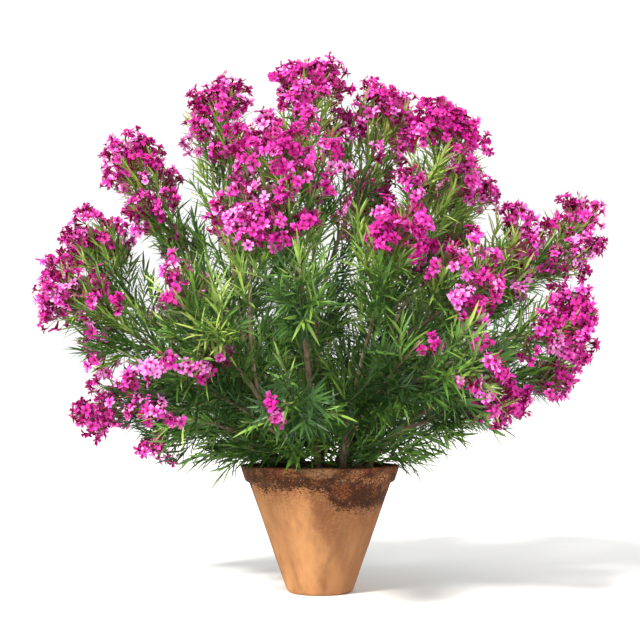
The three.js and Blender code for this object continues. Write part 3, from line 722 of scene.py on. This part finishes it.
for cane in canes:
    twigs = Joined()
    for mass in cane.masses:
        controls, start, roll, draw = mass.controls, mass.begins, mass.roll, mass.draw
        add_twig(twigs, controls, start, STEM_ENDS, 7, 24, BROWN)
        for knot in range(1, STEM_KNOTS):
            share = mix(start, 1, knot / STEM_KNOTS)
            turn = face_angle(knot, 8, draw)
            left = norm(along(controls, 1)[0] - along(controls, share)[0])
            for cut_back in (1, 0.8, 0.62, 0.48):
                length = (0.09 + 0.7 * left) * cut_back
                shoot = side_line(controls, share, roll, turn, SHOOT_ANGLE, length, 0.5)
                tip = shoot[2] + unit(shoot[2] - shoot[1]) * BLOOM_DOME
                if in_space(tip, mass):
                    mass.shoots.append(shoot)
                    add_twig(twigs, shoot, 0, SHOOT_ENDS, 5, 9, GREEN)
                    break

        # The sprays: where the source has a leaf, a thin twig of whorled leaves grows.
        chance = np.random.default_rng(len(mass.name) + int(1000 * mass.limit))
        rows = int(span_of(controls) * (1 - start) / SPRAYS_APART)
        sites = [(controls, roll, share, face + 0.5 * (row % 2))
                 for row, share in enumerate(np.linspace(mix(start, 1, 0.05), 0.88, rows))
                 for face in range(3)]
        sites += [(shoot, 0, share, face)
                  for shoot in mass.shoots for share in (0.3, 0.62) for face in range(3)]
        kept = mix(0.8, 1, min(1.5 * mass.bloom, 1))
        richest = 0.06 + 0.12 * mass.bloom + 0.13 * max(mass.tip[2] - 1, 0)
        for line, line_roll, share, face in sites:
            if chance.uniform() > kept:
                continue
            turn = face_angle(face, 40, chance.uniform)
            for cut_back in (1, 0.8, 0.6):
                length = SPRAY_LENGTH * cut_back * chance.uniform(0.8, 1.1)
                spray = side_line(line, share, line_roll, turn, SPRAY_ANGLE, length,
                                  chance.uniform(0.2, 0.55))
                spray[2] += UP * chance.uniform(-0.01, 0.03)
                reach = spray[2] + unit(spray[2] - spray[1]) * PAST_SPRAY
                away, spread = from_stem(reach, mass)
                fits = in_reach(reach, mass) and away < spread * mass.full - 0.025
                if fits and clear_of_pot(np.array([*spray, reach])).all():
                    from_tip = norm(spray[2] - mass.tip)
                    flowers = (mass.bloom > 0 and chance.uniform() < 0.8
                               and from_tip < richest * mass.rich)
                    mass.sprays.append((spray, flowers))
                    add_twig(twigs, spray, 0, SPRAY_ENDS, 3, 5, GREEN)
                    break

    # Old wood bears short leafy sprays too, from just above the soil up.
    chance = np.random.default_rng(90 + len(cane.name))
    limbs = [(cane.controls, np.linspace(0.05, CANE_SHARE, 17))]
    limbs += [(mass.controls, np.linspace(0.08, BOUGH_SHARE, 6))
              for mass in cane.masses if mass.bough]
    for line, share in [(line, share) for line, shares in limbs for share in shares]:
        for face in range(3):
            turn = face_angle(face, 50, chance.uniform)
            spray = side_line(line, share, 7 * share, turn, OLD_WOOD_ANGLE,
                              chance.uniform(0.11, 0.22), chance.uniform(0, 0.3))
            spray[2] -= UP * chance.uniform(-0.03, 0.03)
            root = spray[0]
            shaded = spray[2][1] > root[1] - 0.03 or root[2] < 0.46  # bare towards the light
            if shaded and clear_of_pot(along(spray, np.linspace(0.2, 1, 5))).all():
                cane.sprays.append(spray)
                add_twig(twigs, spray, 0, SPRAY_ENDS, 3, 5, GREEN)
    cane.twigs = twigs

# ---- The leaves ----
# Narrow lance-shaped leathery leaves, 40 to 115 mm long and 4 to 11 mm wide, folded a little
# along the midrib. They stand in whorls of three round every spray, shoot and stem. Outer and
# high ones are lighter yellow-green, partly young growth and partly painted light; those inside
# and low down are deeper green, partly old leaves and partly painted shade.

LEAF_LENGTH = 0.083
LEAF_ASPECT = 0.100
LEAVES_SHORT = -0.055  # where a mass flowers, its leaves end short of its reach
LEAF_ANGLES = (47, 22)  # from a twig, at its root and at its tip
STEM_WHORLS, SHOOT_WHORLS, SPRAY_WHORLS = 0.034, 0.028, 0.0155  # how far apart
BLADE = np.array([(0.16, 0.62), (0.44, 1.0), (0.75, 0.64)])  # share along, share of width
LEAF_FACES = np.array([
    (0, 2, 1), (0, 3, 2), (7, 8, 10), (8, 9, 10), (1, 2, 5), (1, 5, 4),
    (2, 3, 6), (2, 6, 5), (4, 5, 8), (4, 8, 7), (5, 6, 9), (5, 9, 8)])

# Six greens, deep to yellow: besides the leaves' own range, the deep ones inside the crown are
# painted shade and the light ones outside painted light.
LEAF_FINISHES = plain_finishes({
    "leaf_deep": (44, 76, 32), "leaf_dark": (60, 98, 36), "leaf_mid": (92, 134, 50),
    "leaf_fresh": (130, 166, 68), "leaf_light": (162, 188, 88), "leaf_yellow": (190, 204, 112),
}, Roughness=0.42, Specular_IOR_Level=0.45)


def blades(root, direction, facing, length, bend):
    """Leaf blades, 11 points each, that arch away from the side they face."""
    side = unit(np.cross(facing, direction))
    upper = np.cross(direction, side)
    points = np.empty((len(root), 11, 3))
    points[:, 0] = root
    width = (length * LEAF_ASPECT / 2)[:, None]

    def spine(share):
        return (root + direction * (length * share)[:, None]
                - upper * (bend * length * share ** 2)[:, None])
    for i, (share, breadth) in enumerate(BLADE):
        middle = spine(share)
        for column, sign in ((1, -1), (2, 0), (3, 1)):
            lifted = upper * width * breadth * 0.35 * abs(sign)
            points[:, 3 * i + column] = middle + side * width * breadth * sign + lifted
    points[:, 10] = spine(1.0)
    return points


def clothe(controls, roll, start, end, gap, mass, leaves, greens, chance,
           slack=OVERHANG):
    """Whorls of three leaves along a part of a twig, in the greens given for this twig."""
    whorls = max(2, int(span_of(controls) * (end - start) / gap))
    shares = np.linspace(start, end, whorls)
    centre = along(controls, shares)
    tangent, side, cross = frames(controls, shares, roll)
    angle = (np.arange(3)[None] * math.tau / 3 + np.arange(whorls)[:, None] * math.pi / 3
             + chance.normal(0, 0.22, (whorls, 3)))
    radial = rolled(side[:, None], cross[:, None], angle[..., None])[0].reshape(-1, 3)
    centre, tangent = np.repeat(centre, 3, 0), np.repeat(tangent, 3, 0)
    towards_tip = np.repeat(np.linspace(0, 1, whorls), 3)
    spread = np.radians(mix(*LEAF_ANGLES, towards_tip) + chance.normal(0, 8, len(centre)))
    direction = rolled(tangent, radial, spread[:, None])[0]
    sag = np.clip((0.75 - centre[:, 2:]) * 0.7, 0, 0.35)
    direction = unit(direction - UP * sag * chance.uniform(0.3, 1.2, (len(centre), 1)))
    length = LEAF_LENGTH * chance.triangular(0.6, 0.95, 1.38, len(centre))
    length *= mix(1.0, 0.8, towards_tip ** 2)
    bend = chance.uniform(0.02, 0.22, len(centre))
    tip = centre + direction * length[:, None]
    middle = centre + direction * length[:, None] * 0.55
    fits = in_reach(tip, mass, slack) & clear_of_pot(tip) & clear_of_pot(middle)
    facing = tangent + UP * 0.35
    points = blades(*(values[fits] for values in (centre, direction, facing, length, bend)))
    green = chance.choice(greens, fits.sum())
    leaves.add_copies(points, LEAF_FACES, np.repeat(green, len(LEAF_FACES)))


for cane in canes:
    leaves = Joined()
    for mass in cane.masses:
        chance = np.random.default_rng(7 + int(1e4 * mass.limit))
        slack = mix(OVERHANG, LEAVES_SHORT, mass.bloom)
        # Leaves on a mass's stem, deep inside it, and on a thinned mass's shoots take deeper
        # greens: partly old leaves, partly painted shade.
        clothe(mass.controls, mass.roll, mix(mass.begins, 1, 0.35), 0.93, STEM_WHORLS, mass,
               leaves, [1, 2, 2, 3], chance, slack)
        for shoot in mass.shoots:
            clothe(shoot, 0, 0.4, 0.86, SHOOT_WHORLS, mass, leaves,
                   [2, 3, 3, 4] if mass.full == 1 else [1, 2, 3], chance, slack)
        for spray, flowers in mass.sprays:
            # A spray's green is lighter the farther out and higher it is, and deeper on thinned
            # masses: partly leaf age, partly painted light and painted shade.
            outer = norm(spray[2] - HEART) / mass.limit
            young_and_lit = (outer - 0.4) * 5 + (spray[2][2] - 0.8) * 3 + (mass.full - 1) * 4
            young_and_lit = int(np.clip(young_and_lit + chance.normal(0, 1), 0, 4))
            clothe(spray, 0, 0.16, 0.62 if flowers else 1, SPRAY_WHORLS, mass, leaves,
                   [young_and_lit, young_and_lit, young_and_lit + 1], chance, slack)
    chance = np.random.default_rng(50 + len(cane.name))
    everywhere = SimpleNamespace(limit=0.8, lowest=0.325)
    # The sprays on old wood, inside the crown, take the deeper greens: partly old leaves, partly
    # painted shade.
    for spray in cane.sprays:
        green = int(chance.integers(0, 3))
        clothe(spray, 0, 0.25, 1, 1.25 * SPRAY_WHORLS, everywhere, leaves,
               [green, green, green + 1], chance)
    piece = leaves.piece("leaves_" + cane.name, LEAF_FINISHES)
    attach(piece, "root")
    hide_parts(*("mass_" + mass.name for mass in cane.masses))

# ---- The blossom ----
# Loose domed heads of some 40 flowers at the ends of stems and shoots, and bunches of 6 to 10 on
# the sprays round them. A flower is 30 to 45 mm across, of five broad petals set like a pinwheel
# on a narrow tube, magenta pink with a dark red throat. Pointed buds stand among them.

FLOWER_RADIUS = 0.0178
HEAD_WIDE = 0.060
HEAD_DEEP = 0.105
FIRST_TRUSS, SIDE_TRUSS, SPRAY_TRUSS = 0.033, 0.035, 0.042  # how far each bunch spreads
NEXT_TRUSS = 2.4  # how far round the shoot from the last, in radians
STALK, BUD_STALK = 0.0010, 0.0007  # radii
VARIANTS = 5

BLOSSOM_FINISHES = plain_finishes({
    "petal_deep": (190, 20, 136), "petal_magenta": (212, 42, 162), "petal_pink": (232, 76, 186),
    "petal_light": (244, 148, 222), "throat": (120, 2, 40), "bud": (186, 18, 98),
}, Roughness=0.55, Specular_IOR_Level=0.3)
TONE_SHARES = [0.14, 0.36, 0.34, 0.16]  # of the bunches, from the deep petals to the light
THROAT, BUD = 4, 5
PETAL = [(0.15, -0.09, 0.0), (0.15, 0.09, 0.0), (0.50, -0.29, 0.14), (0.56, 0.03, 0.02),
         (0.48, 0.33, 0.10), (0.86, -0.28, 0.20), (0.97, 0.32, 0.08)]
PETAL_WEBS = [(0, 3, 2), (0, 1, 3), (1, 4, 3), (2, 3, 5), (3, 6, 5), (3, 4, 6)]


def flower_pattern(seed):
    """The points of one flower about the axis (0, 0, 1), each petal a little unlike the next."""
    chance = np.random.default_rng(seed)
    points = []
    for i in range(5):
        turn = math.tau * i / 5 + chance.normal(0, 0.08)
        size = chance.uniform(0.86, 1.1)
        lift, twist = chance.normal(0, 0.22), chance.normal(0, 0.3)
        for reach, aside, rise in PETAL:
            rise += lift * reach ** 2 + twist * aside * reach
            points.append((size * (reach * math.cos(turn) - aside * math.sin(turn)),
                           size * (reach * math.sin(turn) + aside * math.cos(turn)), rise))
    for reach, rise in ((0.29, 0.05), (0.06, -0.62)):
        for i in range(5):
            turn = math.tau * (i + 0.5) / 5
            points.append((reach * math.cos(turn), reach * math.sin(turn), rise))
    return points + [(0, 0, -0.12)]


def flower_faces():
    faces = [[7 * i + corner for corner in web] for i in range(5) for web in PETAL_WEBS]
    for i in range(5):
        mouth, beside, foot, foot_beside = 35 + i, 35 + (i + 1) % 5, 40 + i, 40 + (i + 1) % 5
        faces += [(mouth, beside, 45), (foot, beside, mouth), (foot, foot_beside, beside)]
    return np.array(faces)


FLOWERS = np.array([flower_pattern(seed) for seed in range(VARIANTS)])
FLOWER_FACES = flower_faces()
PETAL_OF = np.repeat([0, 1, 2, 3, 4, -1], [6, 6, 6, 6, 6, 15])  # of each face; -1 in the throat
# Painted shade: the three faces at each petal's root take the next darker tone, as shade towards
# the throat.
SHADED_ROOT = np.array([1, 1, 1, 0, 0, 0] * 5 + [0] * 15)  # a petal is darker towards the throat
BUD_FACES = np.array([(0, 2, 1), (0, 3, 2), (0, 4, 3), (0, 1, 4),
                      (5, 1, 2), (5, 2, 3), (5, 3, 4), (5, 4, 1)])
STALK_FACES = np.array([(0, 1, 4), (0, 4, 3), (1, 2, 5), (1, 5, 4), (2, 0, 3), (2, 3, 5)])


def across_of(axis):
    """Two directions square to each of these."""
    helper = np.where(np.abs(axis[:, 2:]) > 0.9, [[1.0, 0, 0]], [[0, 0, 1.0]])
    side = unit(np.cross(helper, axis))
    return side, np.cross(axis, side)


def add_flowers(joined, centre, facing, chance):
    count = len(centre)
    side, cross = rolled(*across_of(facing), chance.uniform(0, math.tau, (count, 1)))
    size = FLOWER_RADIUS * chance.uniform(0.82, 1.2, count)
    cup = facing * chance.uniform(0.5, 2.2, (count, 1))
    axes = np.stack([side, cross, cup], 1) * size[:, None, None]
    points = centre[:, None] + FLOWERS[chance.integers(0, VARIANTS, count)] @ axes
    tone = chance.choice(4, p=TONE_SHARES)
    tones = tone + chance.choice([-1, 0, 0, 0, 1], (count, 1)) + chance.choice(
        [-1, 0, 0, 0, 0, 1], (count, 5))
    finish = np.clip(tones[:, PETAL_OF] - SHADED_ROOT, 0, 3)
    finish[:, PETAL_OF < 0] = THROAT
    joined.add_copies(points, FLOWER_FACES, finish.ravel())


def add_buds(joined, centre, facing, size):
    side, cross = across_of(facing)
    size = size[:, None]
    ring = [centre + across * size * 0.32 for across in (side, cross, -side, -cross)]
    points = np.stack([centre - facing * size * 0.9, *ring, centre + facing * size * 1.2], 1)
    joined.add_copies(points, BUD_FACES, BUD)


def add_stalks(joined, start, end, radius, finish):
    start = np.broadcast_to(start, end.shape)
    side, cross = across_of(unit(end - start))
    corners = [side, -side * 0.5 + cross * 0.87, -side * 0.5 - cross * 0.87]
    points = np.stack([at + corner * radius for at in (start, end) for corner in corners], 1)
    joined.add_copies(points, STALK_FACES, finish)


def add_truss(blossom, twigs, fork, middle, axis, count, spread, chance):
    """A bunch of flowers on stalks from one fork, domed about its middle."""
    outward = unit(axis * 0.55 + chance.normal(0, 0.62, (count, 3)))
    centre = middle + outward * spread * chance.uniform(0.5, 1.1, (count, 1))
    facing = unit(outward + axis * 0.3 + UP * 0.1 + chance.normal(0, 0.3, (count, 3)))
    add_flowers(blossom, centre, facing, chance)
    add_stalks(twigs, fork, centre - facing * 0.010, STALK, PINK)


def add_head(blossom, twigs, end, axis, size, chance):
    """A head at the end of a shoot: trusses one behind the other round the shoot, and buds."""
    side, cross = (vectors[0] for vectors in across_of(axis[None]))
    few = int(9 * size)
    add_truss(blossom, twigs, end - axis * 0.055, end - axis * 0.038, axis, few,
              FIRST_TRUSS * size, chance)
    trusses = int(chance.integers(4, 7) * size)
    turn = chance.uniform(0, math.tau)
    for i in range(trusses):
        turn += NEXT_TRUSS + chance.normal(0, 0.3)
        radial = rolled(side, cross, turn)[0]
        back = HEAD_DEEP * (0.35 + 0.75 * i / trusses) * chance.uniform(0.8, 1.1)
        middle = end - axis * back + radial * HEAD_WIDE * size * chance.uniform(0.6, 1.0)
        fork = end - axis * (back + 0.03)
        add_truss(blossom, twigs, fork, middle, unit(radial + axis * 0.7),
                  int(chance.integers(5, 9)), SIDE_TRUSS * size, chance)
    spot = unit(axis + chance.normal(0, 0.5, (few, 3)))
    centre = end - axis * 0.016 + spot * chance.uniform(0.012, 0.032, (few, 1)) * size
    add_buds(blossom, centre, unit(spot + axis), chance.uniform(0.005, 0.009, few))
    add_stalks(twigs, end - axis * 0.02, centre, BUD_STALK, GREEN)


for cane in canes:
    blossom = Joined()
    for mass in cane.masses:
        chance = np.random.default_rng(31 + int(1e4 * mass.limit))
        ends = [(mass.controls, 1.0)] + [(shoot, 0.95) for shoot in mass.shoots]
        for controls, size in ends:
            if mass.draw() >= mass.bloom * min(mass.rich, 1):
                continue
            axis = unit(controls[-1] - controls[-2])
            size *= chance.uniform(0.85, 1.1) * mass.full
            add_head(blossom, cane.twigs, controls[-1], axis, size, chance)
        for spray, flowers in mass.sprays:
            if flowers:
                axis = unit(unit(spray[2] - spray[1]) + unit(spray[2] - HEART) * 0.6)
                add_truss(blossom, cane.twigs, spray[2], spray[2] + axis * 0.012, axis,
                          int(chance.integers(6, 11)), SPRAY_TRUSS, chance)
    for kind, joined, finishes in (("blossom_", blossom, BLOSSOM_FINISHES),
                                   ("twigs_", cane.twigs, TWIG_FINISHES)):
        piece = joined.piece(kind + cane.name, finishes)
        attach(piece, "root")
        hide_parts(*("mass_" + mass.name for mass in cane.masses))

# ---- The studio ----
# A plain pale floor, one soft distant lamp high on the left, a weak broad one on the right, and
# the camera a little above the rim of the pot, tilted up to take in the crown.

floor_finish, shader, place = new_finish("studio_floor", Roughness=0.9, Specular_IOR_Level=0.1)
paper = laid(blotches, place, Light=paint(250, 250, 249), Dark=paint(247, 247, 246), Scale=2,
             Edge=0.5, Softness=0.3)
feed(shader["Base Color"], paper["Colour"])
floor = make_piece("studio_floor_sheet", [(-30, -30, 0), (30, -30, 0), (30, 30, 0), (-30, 30, 0)],
                   np.array([(0, 1, 2), (0, 2, 3)]), [floor_finish])

scene = bpy.context.scene
scene.world = world = bpy.data.worlds.new("studio_air")
world.use_nodes = True
air = world.node_tree.nodes["Background"].inputs
feed(air["Color"], (1, 1, 1, 1))
seen = Shade(node(world.node_tree, "LightPath").outputs["Is Camera Ray"])
feed(air["Strength"], seen * 0.1 + 0.95)


def stand(name, data, place, aim_height):
    """Puts a lamp or camera at a place, aimed at this height on the pot's axis."""
    holder = bpy.data.objects.new(name, data)
    holder.location = place
    aim = Vector((0, 0, aim_height)) - holder.location
    holder.rotation_euler = aim.to_track_quat("-Z", "Y").to_euler()
    scene.collection.objects.link(holder)
    return holder


key_lamp = bpy.data.lights.new("key_lamp", "SUN")
key_lamp.energy, key_lamp.color, key_lamp.angle = 4.2, (1, 0.97, 0.93), math.radians(10)
stand("key_lamp", key_lamp, (-3.0, -4.0, 5.2), 0.9)
fill_lamp = bpy.data.lights.new("fill_lamp", "AREA")
fill_lamp.energy, fill_lamp.color, fill_lamp.size = 30, (0.94, 0.97, 1), 2.4
stand("fill_lamp", fill_lamp, (3.8, -2.8, 2.4), 0.9)

camera_data = bpy.data.cameras.new("camera")
camera_data.lens, camera_data.sensor_width = 64.2, 36
scene.camera = stand("camera", camera_data, (0, -3.61, 0.563), 0.847)
scene.view_settings.view_transform = "Standard"
